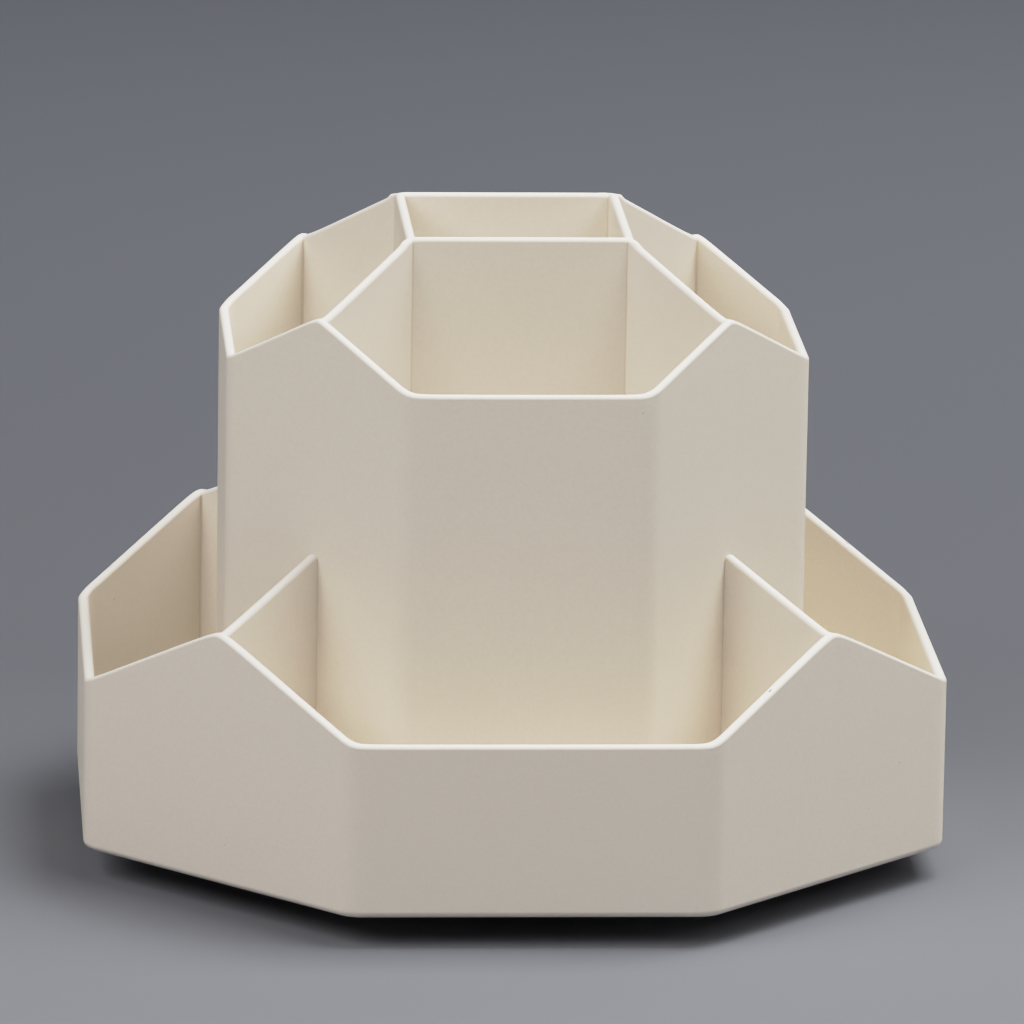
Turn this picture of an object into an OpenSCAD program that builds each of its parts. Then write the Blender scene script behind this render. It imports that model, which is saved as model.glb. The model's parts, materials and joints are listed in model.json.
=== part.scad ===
// Two-tier octagonal desk carousel on a hidden ball-bearing turntable.
// The origin is on the table top, on the spin axis. +Z is up and -Y is the front.
// An open tray carries a taller tower, and both are divided along their diagonals.
// In each tier the rims of the diagonal walls and the dividers rise at one slope towards the middle.

/* [Mouldings] */
// Width of the lower tray across its flats
tray_w = 170; // [160:1:190]
// Width of the upper tower across its flats
tower_w = 114.7; // [112:0.1:124]
// Outside width of the square tube in the middle of the tower
tube_w = 44.8; // [40:0.1:50]
// Thickness of every wall and divider
wall = 2.1; // [1.8:0.1:2.4]
// Thickness of the floors
floor_t = 2; // [1.6:0.1:2.6]
// Outside radius of the upright corners
corner_r = 7; // [6:0.5:10]

/* [Rims] */
// Height of the level tray rims above the tray's underside
tray_rim_h = 34.3; // [28:0.1:44]
// Height of the level tower rims above the tray's underside
tower_rim_h = 96.6; // [80:0.1:110]
// Slope of the tray's diagonal rims and dividers, in degrees
tray_slope = 24.9; // [18:0.1:30]
// Slope of the tower's diagonal rims and dividers, in degrees
tower_slope = 26.8; // [18:0.1:30]
// How far a divider's top starts below the peak of the wall that it leaves
divider_drop = 1; // [0.6:0.1:2]
// How far the tube's rim stands above the dividers that meet it
tube_proud = 0.8; // [0.4:0.1:4]

/* [Turntable] */
// Gap between the table and the tray's underside
ride_h = 6.3; // [6.3:0.1:8]
// Diameter of the standing base
base_d = 112; // [108:1:120]
// Thickness of the base and of the turning plate
plate_t = 2.4; // [2:0.1:3]
// Diameter of the turning plate
plate_d = 100; // [98:1:102]
// Diameter of one bearing ball
ball_d = 5; // [4.8:0.1:5.2]
// Number of bearing balls
ball_count = 12; // [8:1:12]
// Diameter of the circle through the ball centres
ball_circle_d = 84; // [80:1:86]
// Diameter of the journal that the base turns on
journal_d = 12; // [11:0.5:13]

/* [Feet and fasteners] */
// Diameter of one rubber foot pad
pad_d = 14; // [10:1:15]
// Diameter of the pivot screw's shank
pivot_d = 3.5; // [3:0.5:4]
// Diameter of one tower screw's shank
tower_screw_d = 3; // [2.5:0.5:3]
// Distance of the tower screws from the spin axis
tower_screw_r = 28; // [27:0.5:31]

/* [Hidden] */
PADS = [for (i = [1:4]) str("foot_pad_", i)];
BALLS = [for (i = [1:ball_count]) str("bearing_ball_", i)];
ORGANIZER = ["tray", "tower", "turntable_plate", "tower_screws", "pivot_washer", "pivot_screw"];
$fn = 96;

half_corner = 22.5;
eps = 0.01;

// Height of a wall before its rim is cut, and a height above everything
blank_h = 170;
tall = 200;

// How far one feature runs into another that it joins
root = 1;

// Fits and play between the pieces
slip = 0.15;
play = 0.05;
free = 0.3;

// Levels of the turntable, from the table upwards
pad_proud = 1;
pad_sunk = 1;
base_top = pad_proud + plate_t;
ball_z = ride_h;
race_gap = 1.1;
race_w = 10;
groove_r = ball_d / 2 + play;
lower_race_z = ball_z - race_gap;
upper_race_z = ball_z + race_gap;
cage_t = 2 * (race_gap - free);
cage_w = 8;
cage_pocket_r = ball_d / 2 + 2 * play;
groove_roof = 1.05;
plate_z = ball_z + groove_r + groove_roof;
well_top = plate_z + plate_t;
pedestal_top = well_top + floor_t;
boss_h = 6;
tower_floor_z = pedestal_top + boss_h;

// Hub, washer and pivot screw
hub_d = 24;
hub_gap = 1;
hub_top = plate_z - hub_gap;
washer_d = 17.4;
washer_t = 0.8;
washer_top = 3.4;
washer_pocket_d = washer_d + 4 * free;
washer_pocket_top = washer_top + free;
pivot_head_d = 7;
pivot_head_h = 1.5;
pivot_length = 8;

// Cross recess of the screws: its slot width, its depth, and its length against the head's diameter
drive_w = 0.9;
drive_depth = 0.8;
drive_span = 0.6;

// Base lip, ribs and pads
lip_w = 2;
lip_gap = 0.8;
lip_top = ride_h - lip_gap;
rib_w = 1.4;
rib_h = 1.5;
rib_count = 8;
pad_r = 46;
pad_t = pad_proud + pad_sunk;

// Tower screws and their bosses
boss_d = 8;
screw_head_d = 5.6;
screw_head_h = 1.4;
screw_length = 9.2;
screw_hole_play = 0.2;

// Outlines of the mouldings
pedestal_w = tower_w - 2 * wall - 2 * slip;
tray_peak_h = tray_rim_h + facet(tray_w) / 2 * tan(tray_slope);
tower_peak_h = tower_rim_h + facet(tower_w) / 2 * tan(tower_slope);
tube_corner_r = tube_w / 2 * sqrt(2);
tube_rim_h = divider_top(tower_w, tower_peak_h, tower_slope, tube_corner_r) + tube_proud;

// Length of one sharp-cornered side of an octagon that is w wide across its flats
function facet(w) = w * tan(half_corner);

// Height of a divider's top at the distance r from the spin axis, in an octagon w wide with peaks at peak_h
function divider_top(w, peak_h, slope, r) = peak_h - divider_drop + (w / 2 - wall - r) * tan(slope);

// A point turned about the spin axis
function turned(p, a) = [p[0] * cos(a) - p[1] * sin(a), p[0] * sin(a) + p[1] * cos(a)];

// Octagon with rounded corners: a polygon through the tangent points, and a circle in each corner
module octagon(w, r) {
    inset = w / 2 - r;
    polygon([for (i = [0:7]) for (s = [-1, 1]) turned([w / 2, s * inset * tan(half_corner)], 45 * i)]);
    for (i = [0:7])
        rotate(half_corner + 45 * i)
            translate([inset / cos(half_corner), 0])
                circle(r = r);
}

// Upright octagonal wall, from the height low to the height high
module octagon_wall(w, low, high) {
    translate([0, 0, low])
        linear_extrude(high - low)
            difference() {
                octagon(w, corner_r);
                octagon(w - 2 * wall, corner_r - wall);
            }
}

// Everything above the rims of an octagonal wall: level on the four square sides,
// and falling both ways from the middle of each diagonal side
module above_rims(w, rim_h, peak_h) {
    side = facet(w);
    inner_y = 2 * wall - w / 2;
    depth = 3 * wall;
    roof = [[-side / 2, rim_h], [0, peak_h], [side / 2, rim_h], [side / 2, tall], [-side / 2, tall]];
    for (i = [0:3])
        rotate(90 * i) {
            translate([-side / 2, inner_y - depth, rim_h])
                cube([side, depth, tall - rim_h]);
            rotate(45)
                translate([0, inner_y, 0])
                    rotate([90, 0, 0])
                        linear_extrude(depth)
                            polygon(roof);
        }
}

// Dividers on the four diagonals, from the distance inner_r to the middle of an octagonal wall
module dividers(w, inner_r, low, peak_h, slope) {
    outer_r = (w - wall) / 2;
    inner_h = divider_top(w, peak_h, slope, inner_r);
    outer_h = divider_top(w, peak_h, slope, outer_r);
    for (i = [0:3])
        rotate(45 + 90 * i)
            rotate([90, 0, 0])
                translate([0, 0, -wall / 2])
                    linear_extrude(wall)
                        polygon([[inner_r, low], [outer_r, low], [outer_r, outer_h], [inner_r, inner_h]]);
}

// Copies at equal angles about the spin axis, the first one at the angle start
module around(count, start = 0) {
    for (i = [0:count - 1])
        rotate(start + i * 360 / count)
            children();
}

// Flat ring between two diameters
module ring(outer_d, inner_d, low, high) {
    translate([0, 0, low])
        difference() {
            cylinder(d = outer_d, h = high - low);
            translate([0, 0, -eps])
                cylinder(d = inner_d, h = high - low + 2 * eps);
        }
}

// Upright cylinder between two heights
module post(d, low, high) {
    translate([0, 0, low])
        cylinder(d = d, h = high - low);
}

// Round groove that the balls roll in, the same for both races
module ball_track() {
    translate([0, 0, ball_z])
        rotate_extrude()
            translate([ball_circle_d / 2, 0])
                circle(r = groove_r);
}

// Radial ribs between the hub and a race
module ribs(low, high) {
    around(rib_count)
        translate([hub_d / 2 - root, -rib_w / 2, low])
            cube([(ball_circle_d - race_w - hub_d) / 2 + 2 * root, rib_w, high - low]);
}

// Pan-head screw whose head is under the height z and whose shank rises above it
module pan_screw(z, shank_d, shank_h, head_d, head_h) {
    difference() {
        union() {
            post(head_d, z - head_h, z);
            post(shank_d, z - eps, z + shank_h);
        }
        for (a = [0, 90])
            rotate(a)
                translate([-head_d * drive_span / 2, -drive_w / 2, z - head_h - eps])
                    cube([head_d * drive_span, drive_w, drive_depth]);
    }
}

// Lower tier: floor, octagonal wall, four dividers, and the raised pedestal for the tower
module tray() {
    color("#efe7d6")
        translate([0, 0, ride_h])
            difference() {
                union() {
                    difference() {
                        octagon_wall(tray_w, 0, blank_h);
                        above_rims(tray_w, tray_rim_h, tray_peak_h);
                    }
                    linear_extrude(floor_t)
                        octagon(tray_w - wall, corner_r - wall / 2);
                    linear_extrude(pedestal_top - ride_h)
                        octagon(pedestal_w, corner_r - wall - slip);
                    dividers(tray_w, tower_w / 2 + slip, floor_t - eps, tray_peak_h, tray_slope);
                }
                translate([0, 0, -eps])
                    linear_extrude(well_top - ride_h + eps)
                        octagon(pedestal_w - 2 * floor_t, corner_r - wall - slip - floor_t);
                around(4, 45)
                    translate([tower_screw_r, 0, 0])
                        post(tower_screw_d + screw_hole_play, 0, pedestal_top);
            }
}

// Upper tier: octagonal wall, floor, square tube, four dividers and the screw bosses
module tower() {
    low = floor_t;
    floor_low = tower_floor_z - ride_h;
    color("#f0e8d8")
        translate([0, 0, ride_h])
            difference() {
                union() {
                    difference() {
                        octagon_wall(tower_w, low, blank_h);
                        above_rims(tower_w, tower_rim_h, tower_peak_h);
                    }
                    translate([0, 0, floor_low])
                        linear_extrude(floor_t)
                            octagon(tower_w - wall, corner_r - wall / 2);
                    translate([-tube_w / 2, -tube_w / 2, floor_low])
                        cube([tube_w, tube_w, tube_rim_h - floor_low]);
                    dividers(tower_w, tube_corner_r - 2 * wall, floor_low, tower_peak_h, tower_slope);
                    around(4, 45)
                        translate([tower_screw_r, 0, 0])
                            post(boss_d, pedestal_top - ride_h, floor_low + eps);
                }
                translate([wall - tube_w / 2, wall - tube_w / 2, floor_low + floor_t])
                    cube([tube_w - 2 * wall, tube_w - 2 * wall, tall]);
                translate([-tube_w, -tube_w, tube_rim_h])
                    cube([2 * tube_w, 2 * tube_w, tall]);
                around(4, 45)
                    translate([tower_screw_r, 0, 0])
                        post(tower_screw_d, pedestal_top - ride_h - eps, plate_z + screw_length - ride_h + eps);
            }
}

// Turning half of the bearing, with the journal in its middle
module turntable_plate() {
    color("#e6e1d6")
        difference() {
            union() {
                post(plate_d, plate_z, well_top);
                ring(ball_circle_d + race_w, ball_circle_d - race_w, upper_race_z, plate_z + eps);
                post(journal_d, washer_top, plate_z + eps);
            }
            ball_track();
            post(pivot_d, washer_top - eps, washer_top - washer_t + pivot_length + eps);
            around(4, 45)
                translate([tower_screw_r, 0, 0])
                    post(tower_screw_d + screw_hole_play, plate_z - eps, well_top + eps);
        }
}

// Four screws that clamp the turning plate, the tray and the tower together
module tower_screws() {
    color("silver")
        around(4, 45)
            translate([tower_screw_r, 0, 0])
                pan_screw(plate_z, tower_screw_d, screw_length, screw_head_d, screw_head_h);
}

// Washer that keeps the base on its journal
module pivot_washer() {
    color("silver")
        ring(washer_d, pivot_d + screw_hole_play, washer_top - washer_t, washer_top);
}

// Screw through the washer into the journal
module pivot_screw() {
    color("silver")
        pan_screw(washer_top - washer_t, pivot_d, pivot_length, pivot_head_d, pivot_head_h);
}

// Flat ring that snaps over the balls and keeps them apart
module ball_cage() {
    color("#d8d2c4")
        difference() {
            ring(ball_circle_d + cage_w, ball_circle_d - cage_w, ball_z - cage_t / 2, ball_z + cage_t / 2);
            around(ball_count)
                translate([ball_circle_d / 2, 0, ball_z])
                    sphere(r = cage_pocket_r);
        }
}

// One steel ball in its place in the cage
module bearing_ball(i) {
    color("lightsteelblue")
        rotate(360 / ball_count * (i - 1))
            translate([ball_circle_d / 2, 0, ball_z])
                sphere(d = ball_d);
}

// Standing half of the bearing, with the lower race, the hub and the pad recesses
module base_disc() {
    color("#e6e1d6")
        difference() {
            union() {
                post(base_d, pad_proud, base_top);
                ring(base_d, base_d - 2 * lip_w, base_top - eps, lip_top);
                ring(ball_circle_d + race_w, ball_circle_d - race_w, base_top - eps, lower_race_z);
                post(hub_d, base_top - eps, hub_top);
                ribs(base_top - eps, base_top + rib_h);
            }
            ball_track();
            post(journal_d + 2 * play, pad_proud, hub_top + eps);
            post(washer_pocket_d, pad_proud - eps, washer_pocket_top);
            around(4, 45)
                translate([pad_r, 0, 0])
                    post(pad_d + 2 * play, pad_proud - eps, pad_t);
        }
}

// One rubber pad in its recess under the base
module foot_pad(i) {
    color("dimgray")
        rotate(90 * i - 45)
            translate([pad_r, 0, 0])
                post(pad_d, 0, pad_t);
}

tray();
tower();
turntable_plate();
tower_screws();
pivot_washer();
pivot_screw();
ball_cage();
base_disc();
for (i = [1:ball_count])
    bearing_ball(i);
for (i = [1:4])
    foot_pad(i);
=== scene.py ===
"""Looks of the octagonal desk carousel: tray and tower mouldings, materials, light and camera."""

import json
import math

import bpy
from mathutils import Matrix, Vector
from mathutils.geometry import delaunay_2d_cdt


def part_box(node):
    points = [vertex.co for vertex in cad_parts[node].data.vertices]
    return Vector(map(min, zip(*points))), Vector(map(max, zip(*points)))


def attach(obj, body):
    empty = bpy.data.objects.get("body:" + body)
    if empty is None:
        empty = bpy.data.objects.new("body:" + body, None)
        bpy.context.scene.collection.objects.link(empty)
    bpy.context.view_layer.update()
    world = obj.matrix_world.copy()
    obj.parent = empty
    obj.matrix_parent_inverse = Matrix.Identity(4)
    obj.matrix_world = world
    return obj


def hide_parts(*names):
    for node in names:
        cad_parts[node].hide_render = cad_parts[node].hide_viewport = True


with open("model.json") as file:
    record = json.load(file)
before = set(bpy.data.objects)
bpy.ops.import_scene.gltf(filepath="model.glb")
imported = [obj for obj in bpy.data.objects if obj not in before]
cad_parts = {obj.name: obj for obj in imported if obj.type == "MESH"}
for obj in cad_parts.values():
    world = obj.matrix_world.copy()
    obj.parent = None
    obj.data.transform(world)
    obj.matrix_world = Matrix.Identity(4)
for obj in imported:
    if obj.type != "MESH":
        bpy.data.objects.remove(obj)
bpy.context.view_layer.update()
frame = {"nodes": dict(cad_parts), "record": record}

MM = 0.001
ROOT2 = math.sqrt(2)
HALF_CORNER = math.radians(22.5)

# ---------------------------------------------------------------- sizes, in millimetres

def node_box(node):
    """Lowest and highest corner of a CAD node, in millimetres."""
    low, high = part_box(node)
    return low / MM, high / MM


tray_low, tray_high = node_box("tray")
tower_low, tower_high = node_box("tower")
plate_high = node_box("turntable_plate")[1]
screws_high = node_box("tower_screws")[1]

WALL = 2.1
TOWER_WALL = 1.9
FLOOR = tower_low.z - tray_low.z
CORNER_R = 7.0
TRAY_SLOPE = math.tan(math.radians(25.1))
TOWER_SLOPE = math.tan(math.radians(26.2))
TRAY_DIVIDER_SLOPE = math.tan(math.radians(24.4))
TOWER_DIVIDER_SLOPE = math.tan(math.radians(27.0))
TRAY_HALF = tray_high.x
TOWER_HALF = tower_high.x
TUBE_HALF = 22.4
TRAY_RIM = tray_low.z + 34.3
TOWER_RIM = tray_low.z + 96.7
TUBE_RIM = tower_high.z
SLIP = 0.15
WELL_TOP = plate_high.z
PEDESTAL_TOP = WELL_TOP + FLOOR
BOSS_HEIGHT = 6.0
TOWER_FLOOR = PEDESTAL_TOP + BOSS_HEIGHT
SCREW_R = 28.0
SCREW_HOLE_R = 1.6
SCREW_PILOT_R = 1.5
SCREW_TOP = screws_high.z
BOSS_R = 4.0

# Rounds, fillets and soft bends. A rim has to stay wider than its two rounds together, and a floor
# fillet no larger than a pocket corner, or the outlines cross.
RIM_ROUND_OUT = 0.8
RIM_ROUND_IN = 0.85
FOOT_ROUND = 1.4
POCKET_CORNER = 0.3
FLOOR_FILLET = 0.25
TIP_ROUND = 0.8
TIP_STEPS = 5
CREASE_FADE = 0.15
TRAY_PEAK_SOFT = 1.6
TOWER_PEAK_SOFT = 0.9
TRAY_DIP = 0.2
TOWER_DIP = 0.3
DIP_REACH = 2.0
BEND_SOFT = 1.2
TUBE_BLEND = 1.4
TUBE_CORNER_DROP = 0.45
TUBE_CORNER_REACH = 1.1
# How far the tray's dividers stop short of the tower; below zero they end inside its face.
SEAM = -0.02
SINK_DEPTH = 0.05
SINK_WIDTH = 1.6
ARC_STEP = math.radians(5)
QUARTER = [math.radians(90 * k / 5) for k in range(6)]

# ---------------------------------------------------------------- outlines


TIP_EASE = [
    TIP_ROUND * (1 - math.cos(math.radians(90 * k / TIP_STEPS))) for k in range(1, TIP_STEPS + 1)
]


def rounded_path(corners, radii, closed=True, step=0.8):
    """Stations (x, y, nx, ny, crease) along a polygon or polyline.

    The normal is on the right. The crease is 1 in a sharp corner and 0 elsewhere; it masks the painted
    shade in those corners.
    """
    count = len(corners)
    bends = []
    for i, (x, y) in enumerate(corners):
        if not closed and i in (0, count - 1):
            bends.append((Vector((x, y)), Vector((x, y)), None, 0, 0))
            continue
        here = Vector((x, y))
        into = (here - Vector(corners[i - 1])).normalized()
        out = (Vector(corners[(i + 1) % count]) - here).normalized()
        turn = math.atan2(into.x * out.y - into.y * out.x, into.dot(out))
        cut = radii[i] * math.tan(abs(turn) / 2)
        side = 1 if turn > 0 else -1
        centre = here - into * cut + Vector((-into.y, into.x)) * side * radii[i]
        bends.append((here - into * cut, here + out * cut, centre, turn, radii[i]))
    stations = []
    for i in range(count):
        start, end, centre, turn, radius = bends[i]
        if centre is not None:
            pieces = max(2, math.ceil(abs(turn) / ARC_STEP))
            arm = start - centre
            for k in range(pieces + 1):
                angle = turn * k / pieces
                spoke = Matrix.Rotation(angle, 2) @ arm
                normal = spoke.normalized() * (1 if turn > 0 else -1)
                stations.append((*(centre + spoke), *normal, float(radius <= POCKET_CORNER)))
        if closed or i < count - 1:
            following = bends[(i + 1) % count][0]
            along = (following - end)
            length = along.length
            along.normalize()
            normal = Vector((along.y, -along.x))
            open_start = centre is None
            open_end = bends[(i + 1) % count][2] is None
            leads = [TIP_EASE if is_open else [CREASE_FADE] for is_open in (open_start, open_end)]
            inner_length = length - leads[0][-1] - leads[1][-1]
            pieces = max(1, round(inner_length / step))
            spots = list(leads[0])
            spots += [leads[0][-1] + inner_length * k / pieces for k in range(1, pieces)]
            spots += [length - lead for lead in reversed(leads[1])]
            spots = ([0.0] if open_start else []) + spots + ([length] if open_end else [])
            stations += [(*(end + along * spot), *normal, 0.0) for spot in spots]
    return stations


def octagon(half, radius):
    """Octagon of half width half across its flats, counter-clockwise."""
    reach = half / math.cos(HALF_CORNER)
    angles = [HALF_CORNER + math.radians(45) * i for i in range(8)]
    return rounded_path([(reach * math.cos(a), reach * math.sin(a)) for a in angles], [radius] * 8)


def circle(x, y, radius, count=32):
    """Circle as stations, counter-clockwise."""
    angles = [2 * math.pi * k / count for k in range(count)]
    return [
        (x + radius * math.cos(a), y + radius * math.sin(a), math.cos(a), math.sin(a), 0.0)
        for a in angles
    ]


def quarter_turns(point, turns):
    """A point turned about the axis by a number of quarter turns."""
    x, y = point
    for _ in range(turns):
        x, y = -y, x
    return x, y


def divider_corner(inner_half, wall, side):
    """Where a divider's face meets the inside of a diagonal wall, in the front compartment."""
    reach = inner_half * ROOT2
    return side * (reach - wall / ROOT2) / 2, -(reach + wall / ROOT2) / 2


def tower_pocket(turns):
    """Outline of one outer compartment of the tower."""
    inner = TOWER_HALF - TOWER_WALL
    bend = inner * math.tan(HALF_CORNER)
    tube_x = TUBE_HALF - TOWER_WALL / ROOT2
    corners = [(-bend, -inner), (bend, -inner), divider_corner(inner, TOWER_WALL, 1),
               (tube_x, -TUBE_HALF), (-tube_x, -TUBE_HALF), divider_corner(inner, TOWER_WALL, -1)]
    radii = [CORNER_R - TOWER_WALL] * 2 + [POCKET_CORNER] * 4
    return rounded_path([quarter_turns(c, turns) for c in corners], radii)


def tube_pocket():
    """Outline of the square tube's inside."""
    half = TUBE_HALF - TOWER_WALL
    corners = [(-half, -half), (half, -half), (half, half), (-half, half)]
    return rounded_path(corners, [POCKET_CORNER] * 4)


def tray_bay(turns):
    """Open outline of one compartment of the tray, from one divider's inner end to the next one's."""
    inner = TRAY_HALF - WALL
    bend = inner * math.tan(HALF_CORNER)
    end = (TOWER_HALF + SEAM) / ROOT2
    aside = WALL / 2 / ROOT2
    corners = [(-end + aside, -end - aside), divider_corner(inner, WALL, -1), (-bend, -inner),
               (bend, -inner), divider_corner(inner, WALL, 1), (end - aside, -end - aside)]
    radii = [0, POCKET_CORNER, CORNER_R - WALL, CORNER_R - WALL, POCKET_CORNER, 0]
    return rounded_path([quarter_turns(c, turns) for c in corners], radii, closed=False)


# ---------------------------------------------------------------- rim heights


def soft_max(value, soft):
    """The value where it is above zero, and zero below, with a rounded bend."""
    return (value + math.sqrt(value * value + soft * soft)) / 2


def wall_height(x, y, half, rim, slope, peak_soft):
    """Rim height of an octagonal wall: level on the square sides, peaked on the diagonal ones."""
    across = (abs(x) - abs(y)) / ROOT2
    to_bend = half * math.tan(HALF_CORNER) - math.hypot(across, peak_soft)
    return rim + slope * soft_max(to_bend, BEND_SOFT)


def divider_rise(x, y, half, slope, dip):
    """How much higher a divider's top is here than the peak of the wall that it leaves."""
    across = (abs(x) - abs(y)) / ROOT2
    run = half - WALL - (abs(x) + abs(y)) / ROOT2
    if run <= 0 or abs(across) > 1.5 * WALL:
        return 0.0
    return slope * run - dip * (1 - math.exp(-run / DIP_REACH))


def tray_top(x, y):
    """Height of the tray's rims and dividers."""
    height = wall_height(x, y, TRAY_HALF, TRAY_RIM, TRAY_SLOPE, TRAY_PEAK_SOFT)
    height += divider_rise(x, y, TRAY_HALF, TRAY_DIVIDER_SLOPE, TRAY_DIP)
    left = (abs(x) + abs(y)) / ROOT2 - (TOWER_HALF + SEAM)
    if abs(abs(x) - abs(y)) < 3 * WALL and left < TIP_ROUND:
        lack = TIP_ROUND - max(left, 0.0)
        height -= TIP_ROUND - math.sqrt(TIP_ROUND ** 2 - lack ** 2)
    return height


def tower_top(x, y):
    """Height of the tower's rims, dividers and tube."""
    height = wall_height(x, y, TOWER_HALF, TOWER_RIM, TOWER_SLOPE, TOWER_PEAK_SOFT)
    height += divider_rise(x, y, TOWER_HALF, TOWER_DIVIDER_SLOPE, TOWER_DIP)
    away = max(abs(x), abs(y)) - TUBE_HALF
    near = 1 - min(1.0, max(0.0, away / TUBE_BLEND))
    near = near * near * (3 - 2 * near)
    if not near:
        return height
    corner = math.hypot(abs(x) - TUBE_HALF, abs(y) - TUBE_HALF)
    tube_rim = TUBE_RIM - TUBE_CORNER_DROP * math.exp(-(corner / TUBE_CORNER_REACH) ** 2)
    return height + (tube_rim - height) * near


def sunk(stations):
    """The outline with a faint sink mark down each diagonal side, opposite the divider."""
    marked = []
    for x, y, nx, ny, crease in stations:
        across = (abs(x) - abs(y)) / ROOT2
        diagonal = abs(nx) > 0.3 and abs(ny) > 0.3
        depth = SINK_DEPTH * math.exp(-(across / SINK_WIDTH) ** 2) if diagonal else 0
        marked.append((x - nx * depth, y - ny * depth, nx, ny, crease))
    return marked


# ---------------------------------------------------------------- meshes


class Moulding:
    """Vertices and faces of one closed moulding, in millimetres."""

    def __init__(self):
        self.verts = []
        self.faces = []
        # Weight of the painted rim highlight per vertex, strongest at the crest.
        self.rim = {}
        # Mask of the painted shade per vertex: 1 in sharp inside corners.
        self.crease = []

    def row(self, stations, offset, height):
        """Vertices along an outline, moved along its normals, at a height or a height function."""
        first = len(self.verts)
        for x, y, nx, ny, crease in stations:
            px, py = x + nx * offset, y + ny * offset
            self.crease.append(crease)
            pz = height(px, py) if callable(height) else height
            self.verts.append((px, py, pz))
        return list(range(first, len(self.verts)))

    def strip(self, lower, upper, closed=True, outward=True):
        """Quads between two rows. A row runs counter-clockwise, and outward faces look to its right."""
        count = len(lower)
        for i in range(count if closed else count - 1):
            j = (i + 1) % count
            quad = [lower[i], lower[j], upper[j], upper[i]]
            self.faces.append(quad if outward else quad[::-1])

    def strips(self, rows, closed=True, outward=True):
        """Quads between each row and the next one above it."""
        for lower, upper in zip(rows, rows[1:]):
            self.strip(lower, upper, closed, outward)

    def fill(self, outer, holes, up=True):
        """Triangles between an outer loop of vertices and its holes."""
        loops = [outer, *holes]
        index = [v for loop in loops for v in loop]
        points = [Vector(self.verts[v][:2]) for v in index]
        edges, start = [], 0
        for loop in loops:
            edges += [(start + i, start + (i + 1) % len(loop)) for i in range(len(loop))]
            start += len(loop)
        made = delaunay_2d_cdt(points, edges, [], 0, 1e-7)
        shapes = [[self.verts[v][:2] for v in loop] for loop in loops]
        for triangle in made[2]:
            corners = [made[3][k][0] for k in triangle]
            cx = sum(points[k].x for k in corners) / 3
            cy = sum(points[k].y for k in corners) / 3
            if inside(cx, cy, shapes[0]) and not any(inside(cx, cy, s) for s in shapes[1:]):
                face = [index[k] for k in corners]
                self.faces.append(face if up else face[::-1])

    def cap(self, loop):
        """One flat face over a loop of vertices."""
        self.faces.append(loop)

    def build(self, name):
        """The Blender object, smooth shaded with normals weighted by face area."""
        mesh = bpy.data.meshes.new(name)
        mesh.from_pydata([Vector(v) * MM for v in self.verts], [], self.faces)
        mesh.validate()
        mesh.update()
        # Masks for the painted rim highlight and the painted shade in sharp corners.
        rim = mesh.attributes.new("rim", "FLOAT", "POINT")
        rim.data.foreach_set("value", [self.rim.get(v, 0.0) for v in range(len(self.verts))])
        crease = mesh.attributes.new("crease", "FLOAT", "POINT")
        crease.data.foreach_set("value", self.crease)
        piece = bpy.data.objects.new(name, mesh)
        bpy.context.scene.collection.objects.link(piece)
        mesh.shade_smooth()
        weighted = piece.modifiers.new("weighted_normals", "WEIGHTED_NORMAL")
        weighted.weight = 60
        return piece


def inside(x, y, loop):
    """True if a point is inside a closed loop of points."""
    found = False
    for (ax, ay), (bx, by) in zip(loop, loop[1:] + loop[:1]):
        if (ay > y) != (by > y) and x < (bx - ax) * (y - ay) / (by - ay) + ax:
            found = not found
    return found


def rim_rows(solid, stations, height, sign):
    """Rows of a rounded rim, from the top of the wall's face to the rim's crest.

    The sign is 1 where the wall lies on the side of the normals and -1 on the other side.
    """
    rows = []
    radius = RIM_ROUND_IN if sign > 0 else RIM_ROUND_OUT
    for angle in QUARTER:
        inset = sign * radius * (1 - math.cos(angle))
        drop = radius * (1 - math.sin(angle))
        rows.append(solid.row(stations, inset, lambda x, y, d=drop: height(x, y) - d))
        # The painted rim highlight grows towards the crest of the round.
        solid.rim.update(dict.fromkeys(rows[-1], math.sin(angle)))
    return rows


def fillet_rows(solid, stations, level):
    """Rows of a hollow fillet, from the floor up to the foot of a compartment's wall."""
    rows = []
    for angle in QUARTER:
        inset = -FLOOR_FILLET * (1 - math.sin(angle))
        rise = FLOOR_FILLET * (1 - math.cos(angle))
        rows.append(solid.row(stations, inset, level + rise))
    return rows


def screw_spots():
    """Centres of the four screws, on the diagonals."""
    reach = SCREW_R / ROOT2
    return [quarter_turns((reach, -reach), k) for k in range(4)]


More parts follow.
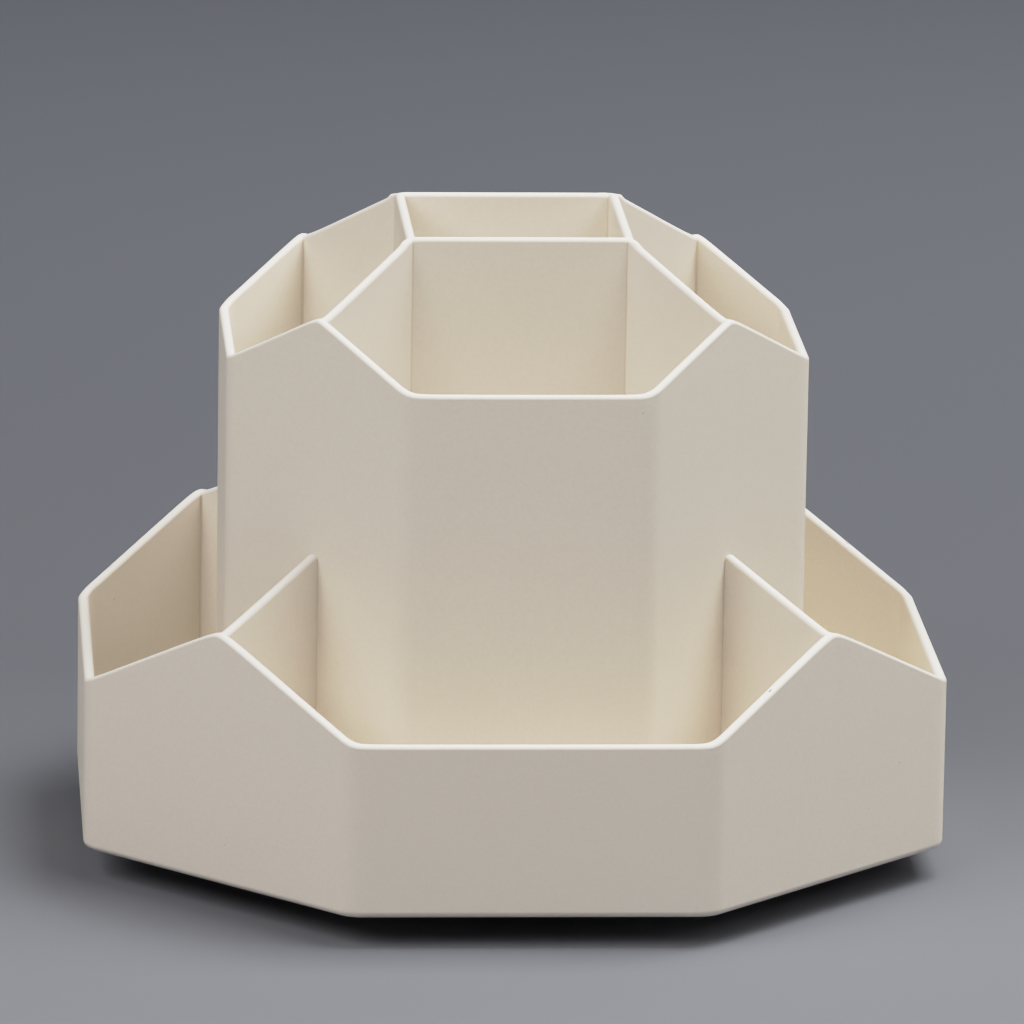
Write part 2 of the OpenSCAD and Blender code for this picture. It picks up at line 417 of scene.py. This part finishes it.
def make_tower():
    """The tower: outer wall, compartments, tube, and the skirt and bosses under its floor."""
    solid = Moulding()
    outer = sunk(octagon(TOWER_HALF, CORNER_R))
    foot = solid.row(outer, 0, tower_low.z)
    rim = rim_rows(solid, outer, tower_top, -1)
    solid.strips([foot, *rim])
    holes = []
    for stations in [tower_pocket(k) for k in range(4)] + [tube_pocket()]:
        floor_rows = fillet_rows(solid, stations, TOWER_FLOOR + FLOOR)
        rows = floor_rows + rim_rows(solid, stations, tower_top, 1)
        solid.strips(rows, outward=False)
        solid.fill(floor_rows[0], [])
        holes.append(rows[-1])
    solid.fill(rim[-1], holes)
    skirt = octagon(TOWER_HALF - WALL, CORNER_R - WALL)
    skirt_rows = [solid.row(skirt, 0, z) for z in (tower_low.z, TOWER_FLOOR)]
    solid.strips(skirt_rows, outward=False)
    solid.fill(foot, [skirt_rows[0]], up=False)
    bosses = []
    for x, y in screw_spots():
        boss = circle(x, y, BOSS_R)
        pilot = circle(x, y, SCREW_PILOT_R)
        boss_rows = [solid.row(boss, 0, z) for z in (PEDESTAL_TOP, TOWER_FLOOR)]
        pilot_rows = [solid.row(pilot, 0, z) for z in (PEDESTAL_TOP, SCREW_TOP)]
        solid.strips(boss_rows)
        solid.strips(pilot_rows, outward=False)
        solid.fill(boss_rows[0], [pilot_rows[0]], up=False)
        solid.cap(pilot_rows[1][::-1])
        bosses.append(boss_rows[1])
    solid.fill(skirt_rows[1], bosses, up=False)
    return solid.build("tower_moulding")


def make_tray():
    """The tray: outer wall with a rounded foot, dividers with rounded tips, pedestal and well."""
    solid = Moulding()
    outer = sunk(octagon(TRAY_HALF, CORNER_R))
    foot = []
    for angle in QUARTER:
        inset = -FOOT_ROUND * (1 - math.sin(angle))
        rise = FOOT_ROUND * (1 - math.cos(angle))
        foot.append(solid.row(outer, inset, tray_low.z + rise))
    rim = rim_rows(solid, outer, tray_top, -1)
    solid.strips(foot + rim)
    floor_level = tray_low.z + FLOOR
    bays = []
    for k in range(4):
        stations = tray_bay(k)
        bays.append(fillet_rows(solid, stations, floor_level) + rim_rows(solid, stations, tray_top, 1))
        solid.strips(bays[-1], closed=False, outward=False)
    for here, following in zip(bays, bays[1:] + bays[:1]):
        solid.cap([row[-1] for row in here] + [row[0] for row in following[::-1]])
    solid.fill(rim[-1], [[v for bay in bays for v in bay[-1]]])
    pedestal = octagon(TOWER_HALF - WALL - SLIP, CORNER_R - WALL - SLIP)
    pedestal_rows = [solid.row(pedestal, 0, z) for z in (floor_level, PEDESTAL_TOP)]
    solid.strips(pedestal_rows)
    solid.fill([v for bay in bays for v in bay[0]], [pedestal_rows[0]])
    well = octagon(TOWER_HALF - WALL - SLIP - FLOOR, CORNER_R - WALL - SLIP - FLOOR)
    well_rows = [solid.row(well, 0, z) for z in (tray_low.z, WELL_TOP)]
    solid.strips(well_rows, outward=False)
    solid.fill(foot[0], [well_rows[0]], up=False)
    low_holes, high_holes = [], []
    for x, y in screw_spots():
        hole = circle(x, y, SCREW_HOLE_R)
        hole_rows = [solid.row(hole, 0, z) for z in (WELL_TOP, PEDESTAL_TOP)]
        solid.strips(hole_rows, outward=False)
        low_holes.append(hole_rows[0])
        high_holes.append(hole_rows[1])
    solid.fill(well_rows[1], low_holes, up=False)
    solid.fill(pedestal_rows[1], high_holes)
    return solid.build("tray_moulding")


# ---------------------------------------------------------------- materials

# Colours of the ivory shell, and where the dust specks end as a part of their cell.
IVORY_LOW = (0.895, 0.832, 0.735)
IVORY_HIGH = (0.910, 0.848, 0.756)
# Painted highlight colour for the rims.
PAINTED_RIM_HIGHLIGHT = (0.885, 0.852, 0.795)
# Painted shade colour for the sharp inside corners, and how strong it is there.
CORNER_SHADE = (0.56, 0.47, 0.32)
CORNER_SHADE_STRENGTH = 0.3
DUST = (0.22, 0.19, 0.15)
DUST_STRENGTH = 0.6
DUST_CELLS = 100.0
DUST_EDGE = (0.010, 0.018)
MOTTLE_STRENGTH = 0.08
PLASTIC_GRAIN = 0.00004
METAL_GRAIN = 0.00002


def new_material(name):
    """An empty node material, its node tree and its shader."""
    material = bpy.data.materials.new(name)
    material.use_nodes = True
    return material, material.node_tree, material.node_tree.nodes["Principled BSDF"]


def add(tree, kind, **inputs):
    """A node of a kind with some inputs set. An input's spaces are written as underscores."""
    made = tree.nodes.new(kind)
    for key, value in inputs.items():
        made.inputs[key.replace("_", " ")].default_value = value
    return made


def object_place(tree):
    """The object's own coordinates."""
    return tree.nodes.new("ShaderNodeTexCoord").outputs["Object"]


def attribute(tree, name):
    """A value stored on the mesh."""
    made = tree.nodes.new("ShaderNodeAttribute")
    made.attribute_name = name
    return made.outputs["Fac"]


def noise(tree, place, scale, detail, roughness=0.5):
    """The strength of a noise texture."""
    made = add(tree, "ShaderNodeTexNoise", Scale=scale, Detail=detail, Roughness=roughness)
    tree.links.new(place, made.inputs["Vector"])
    return made.outputs["Fac"]


def ranged(tree, value, low, high, start=0.0, end=1.0):
    """A value that runs from start to end, spread from low to high."""
    limits = {"From_Min": start, "From_Max": end, "To_Min": low, "To_Max": high}
    made = add(tree, "ShaderNodeMapRange", **limits)
    tree.links.new(value, made.inputs["Value"])
    return made.outputs["Result"]


def mixed(tree, first, second, factor, blend="MIX"):
    """A mix of two colours. Each of the three is a constant or another node's output."""
    made = tree.nodes.new("ShaderNodeMix")
    made.data_type = "RGBA"
    made.blend_type = blend
    for socket, value in (("A", first), ("B", second), ("Factor", factor)):
        if isinstance(value, bpy.types.NodeSocket):
            tree.links.new(value, made.inputs[socket])
        else:
            made.inputs[socket].default_value = value if socket == "Factor" else (*value, 1)
    return made.outputs["Result"]


def dress(tree, shader, color, gloss, grain, strength, depth):
    """Links a colour, a roughness and a fine bump to the shader."""
    bump = add(tree, "ShaderNodeBump", Strength=strength, Distance=depth)
    tree.links.new(grain, bump.inputs["Height"])
    tree.links.new(bump.outputs["Normal"], shader.inputs["Normal"])
    tree.links.new(color, shader.inputs["Base Color"])
    tree.links.new(gloss, shader.inputs["Roughness"])


def shell_plastic():
    """Ivory moulded plastic: tone drift, grain, specks, painted shade in the sharp corners and a
    painted highlight on the rims.
    """
    material, tree, shader = new_material("ivory_plastic")
    place = object_place(tree)
    drift = noise(tree, place, 14.0, 3.0)
    color = mixed(tree, IVORY_LOW, IVORY_HIGH, drift)
    mottle = noise(tree, place, 1400.0, 2.0, 0.6)
    color = mixed(tree, color, mottle, MOTTLE_STRENGTH, "MULTIPLY")
    specks = add(tree, "ShaderNodeTexVoronoi", Scale=DUST_CELLS)
    tree.links.new(place, specks.inputs["Vector"])
    speck = ranged(tree, specks.outputs["Distance"], DUST_STRENGTH, 0.0, *DUST_EDGE)
    color = mixed(tree, color, DUST, speck)
    # Painted shade in the sharp inside corners.
    color = mixed(tree, color, CORNER_SHADE, ranged(tree, attribute(tree, "crease"), 0.0, CORNER_SHADE_STRENGTH))
    # Painted highlight along the rims, strongest at their crests.
    color = mixed(tree, color, PAINTED_RIM_HIGHLIGHT, attribute(tree, "rim"))
    grain = noise(tree, place, 3200.0, 2.0, 0.6)
    dress(tree, shader, color, ranged(tree, drift, 0.5, 0.6), grain, 0.25, PLASTIC_GRAIN)
    shader.inputs["IOR"].default_value = 1.5
    shader.inputs["Specular IOR Level"].default_value = 0.35
    return material


def plain_plastic(name, color, roughness):
    """Smooth moulded plastic of one colour with a faint grain."""
    material, tree, shader = new_material(name)
    place = object_place(tree)
    drift = noise(tree, place, 60.0, 4.0, 0.6)
    tone = mixed(tree, [c * 0.95 for c in color], color, drift)
    gloss = ranged(tree, drift, roughness - 0.05, roughness + 0.05)
    dress(tree, shader, tone, gloss, noise(tree, place, 2500.0, 2.0), 0.2, PLASTIC_GRAIN)
    return material


def metal(name, color, roughness, grain_scale):
    """Bare or plated steel with fine scratches."""
    material, tree, shader = new_material(name)
    grain = noise(tree, object_place(tree), grain_scale, 5.0, 0.7)
    tone = mixed(tree, [c * 0.88 for c in color], color, grain)
    gloss = ranged(tree, grain, roughness * 0.7, roughness * 1.3)
    dress(tree, shader, tone, gloss, grain, 0.15, METAL_GRAIN)
    shader.inputs["Metallic"].default_value = 1.0
    return material


# The floor's painted shade by depth: metres behind the axis, and colour. Lightest in front, darkest
# just behind the object.
FLOOR_PAINTED_SHADE = (
    (-0.06, (0.193, 0.202, 0.230)),
    (0.16, (0.122, 0.129, 0.152)),
    (0.9, (0.162, 0.172, 0.208)),
)


def stage_paper(name):
    """Matte studio surface with painted shade, a little darker behind the object than in front of it.
    """
    material, tree, shader = new_material(name)
    apart = tree.nodes.new("ShaderNodeSeparateXYZ")
    tree.links.new(object_place(tree), apart.inputs["Vector"])
    near, far = FLOOR_PAINTED_SHADE[0][0], FLOOR_PAINTED_SHADE[-1][0]
    ramp = tree.nodes.new("ShaderNodeValToRGB")
    ramp.color_ramp.interpolation = "EASE"
    stops = ramp.color_ramp.elements
    for index, (depth, color) in enumerate(FLOOR_PAINTED_SHADE):
        stop = stops[index] if index < len(stops) else stops.new(1.0)
        stop.position = (depth - near) / (far - near)
        stop.color = (*color, 1)
    tree.links.new(ranged(tree, apart.outputs["Y"], 0.0, 1.0, near, far), ramp.inputs["Fac"])
    tree.links.new(ramp.outputs["Color"], shader.inputs["Base Color"])
    shader.inputs["Roughness"].default_value = 0.9
    shader.inputs["Specular IOR Level"].default_value = 0.2
    return material


# ---------------------------------------------------------------- the object

ivory = shell_plastic()
for piece, node in ((make_tray(), "tray"), (make_tower(), "tower")):
    piece.data.materials.append(ivory)
    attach(piece, "organizer")
    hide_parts(node)

LOOKS = {
    "base_plastic": plain_plastic("base_plastic", (0.78, 0.73, 0.63), 0.5),
    "cage_plastic": plain_plastic("cage_acetal", (0.72, 0.70, 0.64), 0.35),
    "ball_steel": metal("polished_steel", (0.72, 0.72, 0.73), 0.12, 900.0),
    "screw_steel": metal("zinc_plate", (0.62, 0.62, 0.64), 0.3, 1500.0),
    "foot_rubber": plain_plastic("foot_rubber", (0.045, 0.045, 0.045), 0.75),
}
# Width of the edge rounds by slot, in metres. The balls have no edges.
EDGE_ROUND = {
    "base_plastic": 0.0005,
    "cage_plastic": 0.0002,
    "screw_steel": 0.00015,
    "foot_rubber": 0.0003,
}


def round_edges(shown, width):
    """Small rounds on a CAD part's sharp edges, made by modifiers."""
    weld = shown.modifiers.new("weld", "WELD")
    weld.merge_threshold = 0.00001
    bevel = shown.modifiers.new("edges", "BEVEL")
    bevel.width = width
    bevel.segments = 2
    bevel.limit_method = "ANGLE"
    bevel.angle_limit = math.radians(40)
    bevel.harden_normals = True


for part in frame["record"]["subparts"]:
    slot = part["material_slot"]
    if slot in LOOKS:
        shown = frame["nodes"][part["node"]]
        shown.data.materials.clear()
        shown.data.materials.append(LOOKS[slot])
        if slot in EDGE_ROUND:
            round_edges(shown, EDGE_ROUND[slot])

# ---------------------------------------------------------------- camera

VIEW_TURN = math.radians(3.78)
VIEW_DOWN = math.radians(13.66)
VIEW_ROLL = math.radians(0.943)
VIEW_DISTANCE = 1.911
VIEW_TARGET = Vector((0.0007, 0, 0.0661))
VIEW_LENS = 337.0


def make_camera():
    """A long-lens camera in front of the object, a little above it."""
    data = bpy.data.cameras.new("camera")
    data.lens = VIEW_LENS
    data.sensor_width = 36.0
    data.clip_start = 0.05
    data.clip_end = 20.0
    camera = bpy.data.objects.new("camera", data)
    bpy.context.scene.collection.objects.link(camera)
    turn = Matrix.Rotation(-VIEW_TURN, 3, "Z")
    ahead = turn @ Vector((0, math.cos(VIEW_DOWN), -math.sin(VIEW_DOWN)))
    up = turn @ Vector((0, math.sin(VIEW_DOWN), math.cos(VIEW_DOWN)))
    right = turn @ Vector((1, 0, 0))
    rolled_right = right * math.cos(VIEW_ROLL) + up * math.sin(VIEW_ROLL)
    rolled_up = up * math.cos(VIEW_ROLL) - right * math.sin(VIEW_ROLL)
    axes = Matrix((rolled_right, rolled_up, -ahead)).transposed().to_4x4()
    axes.translation = turn @ VIEW_TARGET - ahead * VIEW_DISTANCE
    camera.matrix_world = axes
    bpy.context.scene.camera = camera


make_camera()

# ---------------------------------------------------------------- floor and light


FLOOR_HALF = 6.0


def make_floor():
    """A flat floor, wide enough to fill the view, with painted shade in its colour."""
    corners = [(x * FLOOR_HALF, y * FLOOR_HALF, 0) for x, y in ((-1, -1), (1, -1), (1, 1), (-1, 1))]
    mesh = bpy.data.meshes.new("studio_floor")
    mesh.from_pydata(corners, [], [(0, 1, 2, 3)])
    mesh.materials.append(stage_paper("studio_paper"))
    floor = bpy.data.objects.new("studio_floor", mesh)
    bpy.context.scene.collection.objects.link(floor)


def soft_light(name, place, target, size, power, color):
    """A rectangular area light that looks at a target."""
    data = bpy.data.lights.new(name, "AREA")
    data.shape = "RECTANGLE"
    data.size, data.size_y = size
    data.energy = power
    data.color = color
    lamp = bpy.data.objects.new(name, data)
    bpy.context.scene.collection.objects.link(lamp)
    lamp.location = place
    lamp.rotation_euler = (Vector(target) - Vector(place)).to_track_quat("-Z", "Y").to_euler()


def make_world(color, strength):
    """Even light from all round."""
    world = bpy.data.worlds.new("studio")
    world.use_nodes = True
    sky = world.node_tree.nodes["Background"]
    sky.inputs["Color"].default_value = (*color, 1)
    sky.inputs["Strength"].default_value = strength
    bpy.context.scene.world = world


# Scene brightness in, picture brightness out: straight to the mid tones, then a soft shoulder.
FILM_CURVE = (
    (0.0, 0.0), (0.2, 0.2), (0.4, 0.4), (0.55, 0.545),
    (0.75, 0.67), (1.0, 0.77), (1.4, 0.85), (2.5, 0.93),
)


def set_film():
    """Plain colours, with highlights that roll off towards white instead of clipping."""
    scene = bpy.context.scene
    scene.view_settings.view_transform = "Standard"
    scene.view_settings.use_curve_mapping = True
    mapping = scene.view_settings.curve_mapping
    brightest = FILM_CURVE[-1][0]
    mapping.white_level = [brightest] * 3
    mapping.use_clip = False
    curve = mapping.curves[3]
    curve.points[0].location = FILM_CURVE[0]
    curve.points[-1].location = (1.0, FILM_CURVE[-1][1])
    for given, shown in FILM_CURVE[1:-1]:
        curve.points.new(given / brightest, shown)
    mapping.update()
    scene.cycles.use_denoising = True


# Name, place, height of the point that it looks at, side, power and tint.
NEUTRAL = (1, 0.97, 0.935)
FRONT_TINT = (1, 0.955, 0.925)
LAMPS = (
    ("high_right", (0.5, 0, 1.2), 0, 0.8, 18.6, (1, 0.985, 0.945)),
    ("left_box", (-1.0, -0.3, 1.0), 0.06, 0.9, 6, NEUTRAL),
    ("front_left", (-0.8, -0.82, 1.0), 0.06, 0.8, 7.7, FRONT_TINT),
    ("front_right", (0.8, -0.82, 1.0), 0.06, 0.8, 4.8, FRONT_TINT),
    ("back_right", (0.8, 0.9, 1.0), 0.06, 0.9, 3.6, NEUTRAL),
)

make_floor()
make_world((0.95, 0.97, 1.0), 0.02)
for lamp_name, place, target_height, side, power, tint in LAMPS:
    soft_light(lamp_name, place, (0, 0, target_height), (side, side), power, tint)
set_film()
